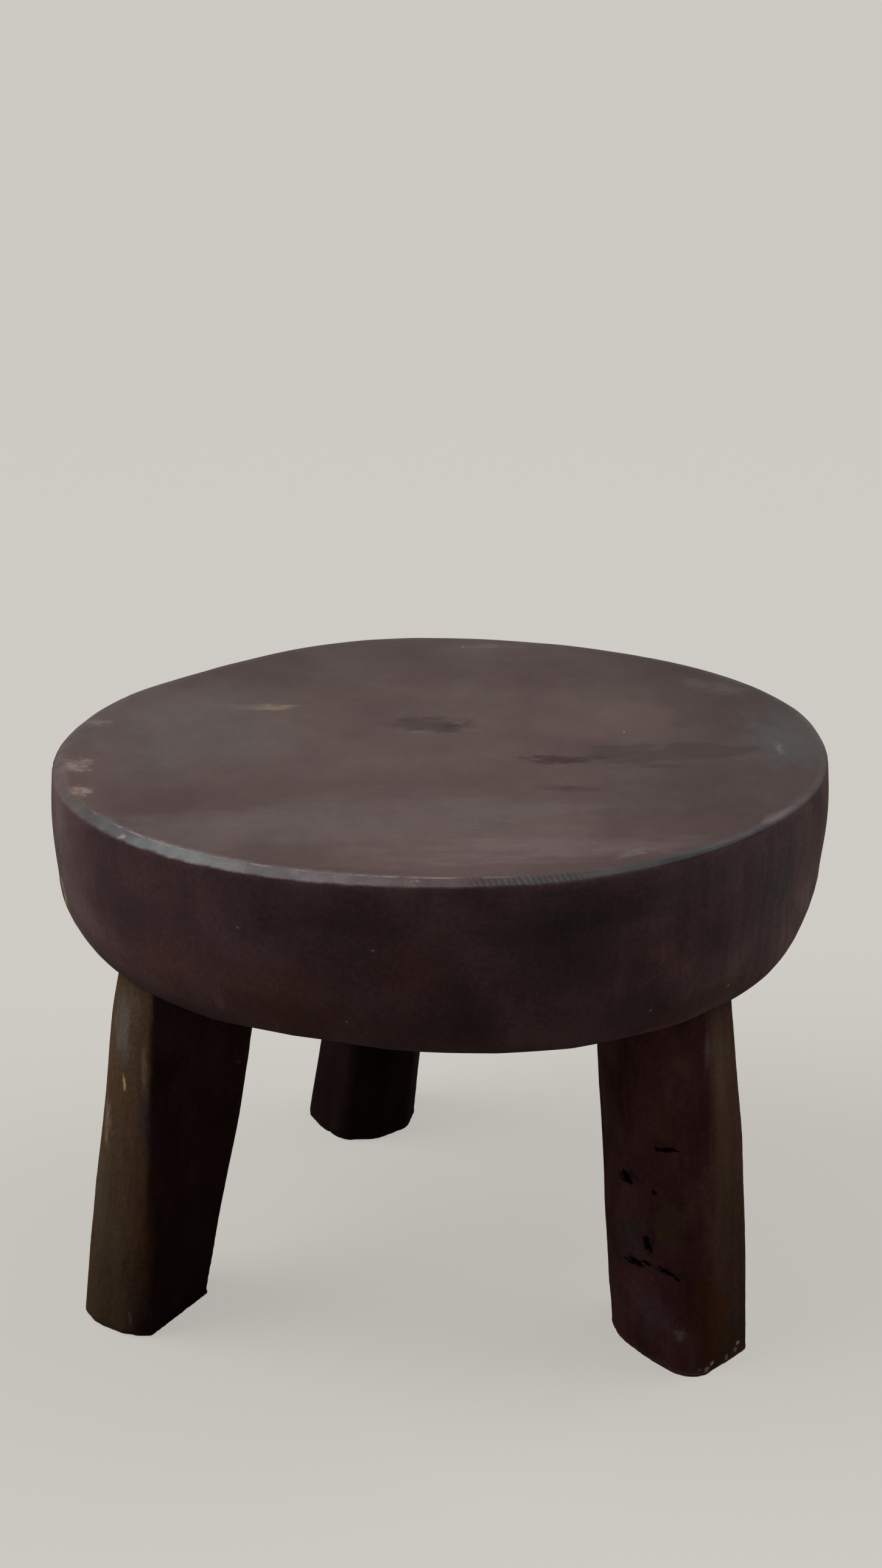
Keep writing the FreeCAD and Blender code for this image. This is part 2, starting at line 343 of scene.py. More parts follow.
def makeSeat():
    s = seatShape
    rings = seatProfile()
    inset, depth = rings[0]
    seat = begin(
        "hewnSeat", bpy.ops.mesh.primitive_circle_add, vertices=s["stations"], fill_type="NOTHING",
        radius=s["radius"] - inset, location=(0, 0, s["top"] - depth),
    )
    settle(seat)
    edit(seat)
    bpy.ops.mesh.select_all(action="SELECT")
    bpy.ops.mesh.edge_face_add()
    bpy.ops.mesh.poke()
    bpy.ops.mesh.select_all(action="DESELECT")
    bpy.ops.mesh.select_non_manifold()
    for nextInset, nextDepth in rings[1:]:
        grow = (s["radius"] - nextInset) / (s["radius"] - inset)
        bpy.ops.mesh.extrude_edges_move(TRANSFORM_OT_translate={"value": (0, 0, depth - nextDepth)})
        bpy.ops.transform.resize(value=(grow, grow, 1), center_override=(0, 0, s["top"] - nextDepth))
        inset, depth = nextInset, nextDepth
    bpy.ops.mesh.edge_face_add()
    bpy.ops.mesh.poke()
    bpy.ops.mesh.select_all(action="SELECT")
    bpy.ops.mesh.normals_make_consistent(inside=False)
    bpy.ops.mesh.select_mode(type="EDGE")
    innerRim, outerRim = s["radius"] - s["bevelWidth"], s["radius"]
    rimLow = s["top"] - s["bevelDrop"]

    def onCircle(point, radius, height):
        return abs(point.z - height) < closeBy and abs(point.xy.length - radius) < closeBy

    def rimEdge(start, end):
        for radius, height in ((innerRim, s["top"]), (outerRim, rimLow)):
            if onCircle(start, radius, height) and onCircle(end, radius, height):
                return True
        return False

    pickEdges(seat, rimEdge)
    bpy.ops.mesh.bevel(offset=s["edgeEase"], segments=2, affect="EDGES")
    leaveEdit()
    points = [vertex.co.copy() for vertex in seat.data.vertices]
    keep(seat, "inset", [s["radius"] - p.xy.length for p in points])
    keep(seat, "depth", [s["top"] - p.z for p in points])
    for vertex, point in zip(seat.data.vertices, points):
        vertex.co = seatPlace(point)
    seat.data.update()
    sculpt(seat, hewSeat)
    return seat


# Legs: eight-sided posts, each corner following a parabola through three sections

jointShape = {
    "tenonRadius": 19 * mm,
    "tenonLength": 56 * mm,
    "tenonRoot": 14 * mm,
    "tipChamfer": 2.5 * mm,
    "mortiseGap": 0.15 * mm,
    "mortiseEndGap": 2 * mm,
    "wedgeLength": 34 * mm,
    "wedgeButt": 5 * mm,
    "wedgeTip": 1.2 * mm,
    "wedgeGap": 0.1 * mm,
    "kerfEndGap": 4 * mm,
    "overrun": 5 * mm,
    "sides": 64,
}
legShape = {
    "shoulder": 194 * mm,
    "topSection": 241 * mm,
    "midSection": 97 * mm,
    "bow": 2 * mm,
    "rings": 12,
    "arris": 7 * mm,
    "soleEase": 1.0 * mm,
    "voxel": 1.1 * mm,
    # what the knife left: dents as lift, size and seed, and lift and size of what else it left
    "dents": ((0.8 * mm, 30 * mm, 0), (0.3 * mm, 11 * mm, 2)),
    "bowls": (0.6 * mm, 16 * mm),
    "fineMarks": (0.08 * mm, 4 * mm),
    "soleChips": (-0.7 * mm, 5 * mm),
    # between these heights the sole's chips give way to the knife's marks
    "soleFade": (0.5 * mm, 4 * mm),
}
legs = {
    "front_left": {
        "azimuth": 215.8, "inset": 47 * mm, "lean": 10, "leanAzimuth": 169, "seed": 1,
        "halves": (36 * mm, 35 * mm, 33 * mm),
        # the side that light has bleached, which on the front legs is also painted as the lit side, how far,
        # and how pale the bleached and the other wood are
        "bleachedAndLitSide": 222, "bleachAndLitStrength": 1.0, "bleachAndLitTone": 1.0, "palenessAndShade": 0.6,
        "topShares": ((-1.00, 0.05), (-0.95, -0.35), (-0.75, -0.72), (-0.50, -0.92),
                      (0.92, -0.48), (1.00, 0.35), (0.20, 1.00), (-0.75, 0.75)),
        "soleShares": ((-1.00, -0.25), (-0.77, -0.63), (-0.17, -1.00), (0.22, -0.99),
                       (1.00, 0.23), (0.70, 0.80), (-0.15, 1.00), (-0.85, 0.60)),
        # how far each arris is rounded, at the top and at the sole
        "arrisShares": ((0.6, 0.5), (0.8, 0.6), (0.9, 0.9), (0.12, 0.25),
                        (0.35, 0.2), (0.5, 0.5), (0.5, 0.5), (0.5, 0.5)),
        # bulges and hollows: bearing from the leg's middle, height, reach and lift
        "swells": ((188, 190 * mm, 34 * mm, 2.0 * mm), (15, 118 * mm, 40 * mm, 2.0 * mm),
                   (15, 0.0, 42 * mm, -2.8 * mm)),
    },
    "front_right": {
        "azimuth": 315.9, "inset": 48.5 * mm, "lean": 5.5, "leanAzimuth": 322.5, "seed": 2,
        "halves": (33 * mm, 34.5 * mm, 35 * mm),
        "bleachedAndLitSide": -2, "bleachAndLitStrength": 1.05, "bleachAndLitTone": 0.7, "palenessAndShade": 1.65,
        "topShares": ((-1.00, 0.30), (-0.95, -0.30), (-0.60, -0.85), (0.00, -0.98),
                      (0.62, -0.88), (1.00, -0.15), (0.75, 0.70), (-0.40, 1.00)),
        "soleShares": ((-1.00, 0.45), (-0.90, 0.00), (-0.55, -0.50), (-0.11, -0.97),
                       (0.25, -1.00), (1.00, -0.31), (0.80, 0.65), (-0.35, 1.00)),
        "arrisShares": ((0.5, 0.4), (0.6, 0.6), (0.7, 0.8), (0.8, 0.9),
                        (0.1, 0.9), (0.4, 0.3), (0.5, 0.5), (0.5, 0.5)),
        "swells": ((-8, 115 * mm, 48 * mm, 1.5 * mm), (205, 0.0, 20 * mm, -2.0 * mm),
                   (-70, 0.0, 22 * mm, -1.6 * mm)),
    },
    "back": {
        "azimuth": 100.5, "inset": 79.5 * mm, "lean": 8.3, "leanAzimuth": 172, "seed": 3,
        "halves": (32 * mm, 32 * mm, 34.5 * mm),
        # the back leg's low paleness is painted shade from the seat above it
        "bleachedAndLitSide": 100, "bleachAndLitStrength": 0.8, "bleachAndLitTone": 0.8, "palenessAndShade": 0.32,
        "topShares": ((-1.00, 0.10), (-0.80, -0.50), (-0.38, -0.95), (0.30, -0.98),
                      (0.82, -0.55), (1.00, 0.10), (0.55, 0.90), (-0.60, 0.85)),
        "soleShares": ((-1.00, 0.02), (-0.74, -0.50), (-0.34, -0.97), (0.30, -0.95),
                       (0.87, -0.50), (1.00, 0.15), (0.55, 0.90), (-0.60, 0.85)),
        "arrisShares": ((0.4, 0.4), (0.5, 0.5), (0.6, 0.7), (0.7, 0.8),
                        (0.6, 0.6), (0.5, 0.5), (0.5, 0.5), (0.5, 0.5)),
        "swells": ((0, 30 * mm, 50 * mm, -1.8 * mm), (185, 125 * mm, 40 * mm, -1.4 * mm)),
    },
}
# Rotted checks in the front right leg: where they are seen from the front, how long, high and
# deep, how far each is turned from level, in degrees, and how many small ones lie round it
checks = (
    {"x": 111 * mm, "z": 126.5 * mm, "size": (13 * mm, 2 * mm, 5 * mm), "turn": 2, "bits": 3, "seed": 4},
    {"x": 93 * mm, "z": 103.5 * mm, "size": (10.5 * mm, 5.6 * mm, 7 * mm), "turn": -24, "bits": 2, "seed": 9},
    {"x": 105 * mm, "z": 101 * mm, "size": (3 * mm, 2.6 * mm, 3 * mm), "turn": 0, "bits": 0, "seed": 5},
    {"x": 103 * mm, "z": 71 * mm, "size": (11 * mm, 3.2 * mm, 6 * mm), "turn": -58, "bits": 3, "seed": 13},
    {"x": 98.5 * mm, "z": 56.5 * mm, "size": (15 * mm, 3.8 * mm, 6 * mm), "turn": 4, "bits": 4, "seed": 17},
    {"x": 113 * mm, "z": 58.5 * mm, "size": (12 * mm, 2.2 * mm, 5 * mm), "turn": -15, "bits": 3, "seed": 23},
)
# How ragged their mouths are: the sizes of the lobes, teeth and runs. Then the small ones' height,
# and as shares of the large one their length, depth, place along it and place above or below it
rotShape = {
    "lobe": 2.6 * mm,
    "tooth": 0.8 * mm,
    "run": 1.6 * mm,
    "bitHeight": 1.4 * mm,
    "lengthShares": (0.16, 0.4),
    "depthShare": 0.6,
    "alongShares": (-0.6, 0.6),
    "sideShares": (-0.75, 0.75),
    "farShares": (0.6, 1.1),
}


def levelDirection(azimuth):
    angle = math.radians(azimuth)
    return Vector((math.cos(angle), math.sin(angle), 0))


def legAxis(leg):  # shoulder point and direction up the leg
    run = levelDirection(leg["leanAzimuth"]) * math.tan(math.radians(leg["lean"]))
    shoulder = levelDirection(leg["azimuth"]) * (seatShape["radius"] - leg["inset"])
    shoulder.z = legShape["shoulder"]
    return shoulder, Vector((-run.x, -run.y, 1)).normalized()


def legMiddle(leg, height):  # middle of the leg's section at a height, with its slight bow
    shoulder, up = legAxis(leg)
    middle = shoulder + up * ((height - shoulder.z) / up.z)
    top, mid = legShape["topSection"], legShape["midSection"]
    bow = legShape["bow"] * height * (top - height) / (mid * (top - mid))
    return middle + levelDirection(leg["azimuth"]) * bow


def parabola(at, knots):
    total = 0.0
    for index, (here, value) in enumerate(knots):
        for other, (there, _) in enumerate(knots):
            if other != index:
                value *= (at - there) / (here - there)
        total += value
    return total


def legCorner(leg, index, height):
    heights = (legShape["topSection"], legShape["midSection"], 0.0)
    corner = legMiddle(leg, height)
    for axis in (0, 1):
        top, sole = leg["topShares"][index][axis], leg["soleShares"][index][axis]
        shares = (top, 0.5 * (top + sole), sole)
        knots = [(z, half * share) for z, half, share in zip(heights, leg["halves"], shares)]
        corner[axis] += parabola(height, knots)
    return corner


def alongAxis(piece, leg, distance):  # a tool made upright at the origin, put on the leg's line
    shoulder, up = legAxis(leg)
    piece.rotation_mode = "QUATERNION"
    piece.rotation_quaternion = Vector((0, 0, 1)).rotation_difference(up)
    piece.location = shoulder + up * distance
    settle(piece)


def makeRod(name, radius, length):  # upright, with its foot at the origin
    rod = begin(
        name, bpy.ops.mesh.primitive_cylinder_add, vertices=jointShape["sides"],
        radius=radius, depth=length, location=(0, 0, 0.5 * length),
    )
    settle(rod)
    return rod


def makeTenon(leg):
    j = jointShape
    length = j["tenonRoot"] + j["tenonLength"]
    tenon = makeRod("tenon", j["tenonRadius"], length)
    edit(tenon, "EDGE")
    pickEdges(tenon, lambda a, b: min(a.z, b.z) > length - closeBy)
    bpy.ops.mesh.bevel(offset=j["tipChamfer"], segments=1, affect="EDGES")
    leaveEdit()
    foot = length + j["mortiseEndGap"] - j["wedgeLength"]
    narrow = 0.5 * j["wedgeTip"] + j["wedgeGap"]
    slope = 0.5 * (j["wedgeButt"] - j["wedgeTip"]) / j["wedgeLength"]
    rise = j["wedgeLength"] + j["overrun"]
    kerf = begin(
        "kerf", bpy.ops.mesh.primitive_cube_add, size=1,
        location=(0, 0, foot - 0.5 * j["kerfEndGap"]),
        scale=(2 * narrow, 2 * (j["tenonRadius"] + j["overrun"]), j["kerfEndGap"]),
    )
    settle(kerf)
    edit(kerf, "FACE")
    pickFaces(kerf, lambda middle, normal: normal.z > 0.9)
    bpy.ops.mesh.extrude_region_move(TRANSFORM_OT_translate={"value": (0, 0, rise)})
    widen = (narrow + slope * rise) / narrow
    bpy.ops.transform.resize(value=(widen, 1, 1), center_override=(0, 0, foot + rise))
    leaveEdit()
    carve(tenon, kerf)
    alongAxis(tenon, leg, -j["tenonRoot"])
    return tenon


def makeMortise(leg):
    j = jointShape
    depth = j["tenonRoot"] + j["tenonLength"] + j["mortiseEndGap"]
    mortise = makeRod("mortise", j["tenonRadius"] + j["mortiseGap"], depth)
    alongAxis(mortise, leg, -j["tenonRoot"])
    return mortise


def makeBlank(name, leg):
    g = legShape
    blank = begin(
        name, bpy.ops.mesh.primitive_circle_add, vertices=len(leg["soleShares"]),
        radius=leg["halves"][-1], fill_type="NGON",
    )
    settle(blank)
    points = sorted(blank.data.vertices, key=lambda v: (math.atan2(v.co.y, v.co.x) - math.pi) % (2 * math.pi))
    for index, vertex in enumerate(points):
        vertex.co = legCorner(leg, index, 0.0)
    soles = [legCorner(leg, index, 0.0) for index in range(len(points))]
    edit(blank, "FACE")
    bpy.ops.mesh.select_all(action="SELECT")
    rise = g["topSection"] / g["rings"]
    for _ in range(g["rings"]):
        bpy.ops.mesh.extrude_region_move(TRANSFORM_OT_translate={"value": (0, 0, rise)})
    bpy.ops.mesh.select_all(action="SELECT")
    bpy.ops.mesh.normals_make_consistent(inside=False)
    leaveEdit()
    for vertex in blank.data.vertices:
        index = min(range(len(soles)), key=lambda i: (soles[i].xy - vertex.co.xy).length)
        vertex.co = legCorner(leg, index, vertex.co.z)
    blank.data.update()
    easing = blank.data.attributes.new("bevel_weight_edge", "FLOAT", "EDGE")
    for edge in blank.data.edges:
        low, high = sorted((blank.data.vertices[i].co for i in edge.vertices), key=lambda p: p.z)
        if high.z - low.z > 0.5 * rise:
            index = min(range(len(soles)), key=lambda i: (legCorner(leg, i, low.z) - low).length)
            atTop, atSole = leg["arrisShares"][index]
            share = low.z / g["topSection"]
            easing.data[edge.index].value = atSole + (atTop - atSole) * share
    modify(blank, "BEVEL", limit_method="WEIGHT", width=g["arris"], segments=4)
    edit(blank, "EDGE")
    pickEdges(blank, lambda a, b: max(a.z, b.z) < closeBy)
    bpy.ops.mesh.bevel(offset=g["soleEase"], segments=1, affect="EDGES")
    leaveEdit()
    return blank


def makeLump(name, size, seed):  # a ragged ball, longest along X, with its mouth across Y
    lump = begin(name, bpy.ops.mesh.primitive_ico_sphere_add, subdivisions=4, radius=0.5)
    length, height, depth = size
    r = rotShape
    for vertex in lump.data.vertices:
        ball = vertex.co.normalized()
        rim = Vector((0.5 * length * ball.x, 0, 0.5 * height * ball.z))
        rag = 0.75 + 0.5 * ripple(rim, r["lobe"], seed) + 0.3 * ripple(rim, r["tooth"], seed + 7)
        rag += 0.9 * max(ripple(rim, r["run"], seed + 3), 0) ** 2
        vertex.co = Vector((rim.x * rag, ball.y * depth, rim.z * rag))
    lump.data.update()
    return lump


def makeCheck(check, leg):  # the space that rot has left: a lump with small ones round it
    r = rotShape
    length, height, depth = check["size"]
    lump = makeLump("check", check["size"], check["seed"])
    dice = random.Random(check["seed"])
    for number in range(check["bits"]):
        share = dice.uniform(*r["lengthShares"])
        size = (length * share, r["bitHeight"], r["depthShare"] * depth)
        bit = makeLump("bit", size, check["seed"] + number + 1)
        bit.rotation_euler = (0, dice.uniform(-0.3, 0.3), 0)
        aside = dice.uniform(*r["alongShares"]) * length
        away = dice.choice(r["sideShares"]) * dice.uniform(*r["farShares"]) * height
        bit.location = (aside, 0, away)
        settle(bit)
        carve(lump, bit, "UNION")
    place, normal = leg.ray_cast(Vector((check["x"], -1, check["z"])), Vector((0, 1, 0)))[1:3]
    lump.rotation_euler = (0, math.radians(-check["turn"]), math.atan2(normal.y, normal.x) + 0.5 * math.pi)
    lump.location = place
    settle(lump)
    return lump


def hewLeg(leg):
    g = legShape
    bowl, bowlSize = g["bowls"]
    mark, markSize = g["fineMarks"]
    chip, chipSize = g["soleChips"]
    seed = 5.3 * leg["seed"]

    def lift(co, normal):
        middle = legMiddle(leg, co.z)
        local = Vector((co.x - middle.x, co.y - middle.y, co.z))
        long = Vector((local.x, local.y, 0.35 * local.z))
        above = fade(co.z, *g["soleFade"])
        hewn = dented(long, g["dents"], seed) + bowl * (scoop(long, bowlSize, seed) - 0.35)
        hewn += mark * ripple(local, markSize, seed)
        chipped = chip * (1 - above) * fade(ripple(local, chipSize, seed + 4), 0.1, 0.6)
        shape = 0.0
        for azimuth, height, reach, rise in leg["swells"]:
            facing = max(normal.dot(levelDirection(azimuth)), 0.0)
            shape += rise * facing ** 2 * bell(co.z, height, reach)
        return above * hewn + chipped * normal.xy.length + shape

    return lift


def makeLeg(name, leg):
    g = legShape
    piece = makeBlank(name, leg)
    modify(piece, "REMESH", mode="VOXEL", voxel_size=g["voxel"], adaptivity=0.0)
    modify(piece, "SMOOTH", factor=0.5, iterations=2)
    sculpt(piece, hewLeg(leg))
    for vertex in piece.data.vertices:
        vertex.co.z = max(vertex.co.z, 0.0)
    piece.data.update()
    return piece


seat = makeSeat()
print("seat hewn", len(seat.data.polygons))

legPieces = {}
for key, leg in legs.items():
    name = "leg" + "".join(word.capitalize() for word in key.split("_"))
    legPieces[key] = makeLeg(name, leg)
    print(name, "hewn", len(legPieces[key].data.polygons))

hollows = []
for check in checks:
    hollows.append(makeCheck(check, legPieces["front_right"]))
print("checks shaped")


# Materials

def linear(hexColour):
    parts = [int(hexColour[start:start + 2], 16) / 255 for start in (1, 3, 5)]
    return tuple(p / 12.92 if p <= 0.04045 else ((p + 0.055) / 1.055) ** 2.4 for p in parts) + (1.0,)


def perLength(size):  # texture scale that gives features of a real size
    return 1 / size


# An input is a value, an output, or a node, which stands for the first output that it has in use
def addNode(tree, kind, inputs=None, stops=None, **settings):
    node = tree.nodes.new("ShaderNode" + kind)
    for name, value in settings.items():
        setattr(node, name, value)
    for socket, value in (inputs or {}).items():
        if isinstance(value, bpy.types.Node):
            value = next(output for output in value.outputs if output.enabled)
        if isinstance(value, bpy.types.NodeSocket):
            tree.links.new(value, node.inputs[socket])
        else:
            node.inputs[socket].default_value = value
    if stops:
        while len(node.color_ramp.elements) < len(stops):
            node.color_ramp.elements.new(1.0)
        for element, (place, colour) in zip(node.color_ramp.elements, stops):
            element.position = place
            element.color = colour
    return node


def newMaterial(name):
    material = bpy.data.materials.new(name)
    material.use_nodes = True
    tree = material.node_tree
    tree.nodes.clear()
    place = addNode(tree, "TexCoord").outputs["Object"]
    return material, tree, place


# A soft ragged spot, given in millimetres: its share in the middle, 0 past its reach
def markMask(tree, place, at, reach, share, turn=0, lobes=1.6, fray=1.2, core=0.1):
    if len(at) == 2:  # a mark on the top reaches any height
        at, reach = (*at, 0), (*reach, 1000)
    spot = addNode(tree, "Mapping", {
        "Vector": place, "Location": [part * mm for part in at], "Scale": [part * mm for part in reach],
        "Rotation": (0, 0, math.radians(turn)),
    }, vector_type="TEXTURE")
    away = addNode(tree, "VectorMath", {0: spot}, operation="LENGTH")
    rag = addNode(tree, "TexNoise", {
        "Vector": spot, "W": at[0], "Scale": lobes, "Detail": 4, "Roughness": 0.6,
    }, noise_dimensions="4D")
    frayed = addNode(tree, "Math", {0: rag, 1: 2 * fray, 2: away}, operation="MULTIPLY_ADD")
    return addNode(tree, "MapRange", {
        "Value": frayed, "From Min": fray + 1, "From Max": fray + core, "To Min": 0, "To Max": share,
    }, interpolation_type="SMOOTHSTEP")


# In a Mix of colours, socket 0 is the share, 6 the colour below and 7 the one laid over it
def layMarks(tree, place, colour, marks):
    for at, reach, tone, share, *extras in marks:
        spot = markMask(tree, place, at, reach, share, **dict(*extras))
        colour = addNode(tree, "Mix", {0: spot, 6: colour, 7: linear(tone)}, data_type="RGBA")
    return colour


# Marks on the seat's top, stains, rubbed and pale places, painted sheen and painted shade: where, how far,
# tone and share, then what else sets one apart, such as its turn in degrees or how many lobes its edge has
topMarks = (
    # painted sheen: these three make the top lighter and greyer at the left and along the front, where light
    # falls
    ((-130, 10), (90, 120), "#514b4a", 0.6),
    ((-50, -126), (150, 56), "#5e5352", 0.6, {"turn": 4}),
    ((40, -160), (110, 24), "#6c5e5d", 0.6),
    # painted sheen: a pale grey-green patch at the right
    ((180, -8), (26, 76), "#505252", 0.7),
    ((84, 22), (70, 46), "#5c4743", 0.45),
    # painted shade: a broad darker band across the back of the top
    ((20, 130), (190, 60), "#473335", 0.65),
    ((112, -80), (60, 40), "#3d3435", 0.75, {"turn": 28, "lobes": 2.2}),
    ((120, -26), (56, 24), "#33282a", 0.7, {"turn": 8, "lobes": 2.4, "core": 0.4}),
    ((-6, 24), (32, 17), "#302426", 0.75, {"turn": -8, "lobes": 2.2, "core": 0.4}),
    ((4, 20), (11, 7), "#211719", 0.85, {"lobes": 2.4}),
    ((60, -36), (21, 9), "#2d1b1a", 0.95, {"turn": -4, "lobes": 2.6, "core": 0.4}),
    ((82, -33), (16, 5), "#302020", 0.85, {"lobes": 2.6}),
    ((66, -80), (27, 6), "#352728", 0.85, {"turn": -8, "lobes": 2.6}),
    ((-94, 54), (20, 8), "#86745f", 0.8, {"lobes": 2.6}),
    ((-106, 57), (24, 9), "#675a55", 0.6),
    ((-12, 10), (12, 6), "#6d5e5a", 0.5),
    ((10, 26), (5, 5), "#6d5c58", 0.5),
    ((-186, -46), (13, 15), "#8b7873", 0.75, {"lobes": 2.4}),
    ((-178, -84), (10, 10), "#917b70", 0.8, {"lobes": 2.6}),
    ((-188, 27), (13, 8), "#7b6d68", 0.7, {"lobes": 2.4}),
    ((176, -17), (3, 13), "#827a78", 0.6, {"lobes": 2.6}),
    ((30, 179), (20, 8), "#75696a", 0.6, {"lobes": 2.4}),
    ((158, 92), (28, 14), "#686264", 0.5, {"turn": -40}),
)
# Marks on the worn rim
rimMarks = (
    ((136, -150), (9, 1.3), "#8b8182", 0.8, {"turn": 42, "fray": 0.4}),
    ((159, -118), (18, 6), "#6e6364", 0.6, {"turn": 53, "fray": 0.8}),
    ((151, -132), (8, 2.2), "#363c3c", 0.8, {"turn": 49, "fray": 0.6}),
    ((88, -166), (14, 5), "#6f6364", 0.6, {"turn": 27, "lobes": 2.2}),
    ((-148, -141), (3, 2.5), "#a09692", 0.8),
)
# Marks on the seat's side
sideMarks = (
    ((-125, -163, 233), (38, 40, 24), "#6a4d38", 0.6),
    ((-70, -188, 232), (40, 30, 20), "#694a36", 0.6),
    ((-12, -200, 246), (20, 30, 22), "#6c4c3f", 0.6),
    ((-60, -192, 214), (70, 40, 14), "#6a4d39", 0.6),
    ((-196, -50, 222), (30, 60, 26), "#69593f", 0.65),
    ((-42, -194, 274), (52, 30, 15), "#47353c", 0.65),
    ((10, -200, 226), (26, 30, 34), "#483439", 0.6),
    ((64, -190, 274), (74, 40, 15), "#3c373c", 0.7),
    ((160, -118, 258), (34, 40, 34), "#535654", 0.65),
    ((120, -160, 276), (50, 50, 14), "#4d4d4e", 0.6),
    ((124, -152, 213), (46, 44, 13), "#4b3b29", 0.65),
    ((101, -177, 248), (11, 12, 8), "#806358", 0.6, {"lobes": 2.2}),
    ((110, -171, 238), (15, 14, 9), "#77605a", 0.6, {"lobes": 2.2}),
    ((-102, -173, 220), (4, 6, 12), "#8d7770", 0.6, {"lobes": 2.2}),
    ((-190, -76, 240), (3, 5, 5), "#a08d6c", 0.9),
    ((-188, -80, 233), (3, 5, 6), "#a79473", 0.9),
    ((97, -164, 202), (34, 16, 2.2), "#7c6a64", 0.6, {"turn": 20}),
)
gritSpots = ((-91, -184, 263), (-30, -200, 259), (136, -145, 216), (96, -176, 218))


# The wood's shader, with fine relief
def finishWood(tree, colour, rough, specular, height, strength, distance):
    relief = addNode(tree, "Bump", {"Height": height, "Strength": strength, "Distance": distance})
    shader = addNode(tree, "BsdfPrincipled", {
        "Base Color": colour, "Roughness": rough, "Specular IOR Level": specular, "IOR": 1.5,
        "Normal": relief,
    })
    addNode(tree, "OutputMaterial", {0: shader})


def specks(tree, place, spacing, size, amount):  # sparse pale dots where grit has struck
    cells = addNode(tree, "TexVoronoi", {"Vector": place, "Scale": perLength(spacing)})
    dot = addNode(tree, "MapRange", {
        "Value": cells.outputs["Distance"], "From Min": size / spacing, "From Max": 0.6 * size / spacing,
    })
    chosen = addNode(tree, "SeparateColor", {0: cells.outputs["Color"]})
    kept = addNode(tree, "Math", {0: chosen, 1: 1 - amount}, operation="GREATER_THAN")
    return addNode(tree, "Math", {0: dot, 1: kept}, operation="MULTIPLY")


def spun(tree, place, tones):  # a tone for each bearing round the seat, from -180 degrees on
    where = addNode(tree, "SeparateXYZ", {0: place})
    bearing = addNode(tree, "Math", {0: where.outputs[1], 1: where.outputs[0]}, operation="ARCTAN2")
    share = addNode(tree, "MapRange", {"Value": bearing, "From Min": -math.pi, "From Max": math.pi})
    stops = [((degrees + 180) / 360, linear(tone)) for degrees, tone in tones]
    return addNode(tree, "ValToRGB", {0: share}, stops=stops)


def grainTone(tree, vector, size, low, high, detail=3):  # a grey to scale a colour by
    grains = addNode(tree, "TexNoise", {"Vector": vector, "Scale": perLength(size), "Detail": detail})
    return addNode(tree, "MapRange", {
        "Value": grains, "From Min": 0.3, "From Max": 0.7, "To Min": low, "To Max": high,
    })


def layGrain(tree, colour, vector, size, low, high, detail=3):  # grains that darken and lighten a colour
    tone = grainTone(tree, vector, size, low, high, detail)
    return addNode(tree, "VectorMath", {0: colour, "Scale": tone}, operation="SCALE")


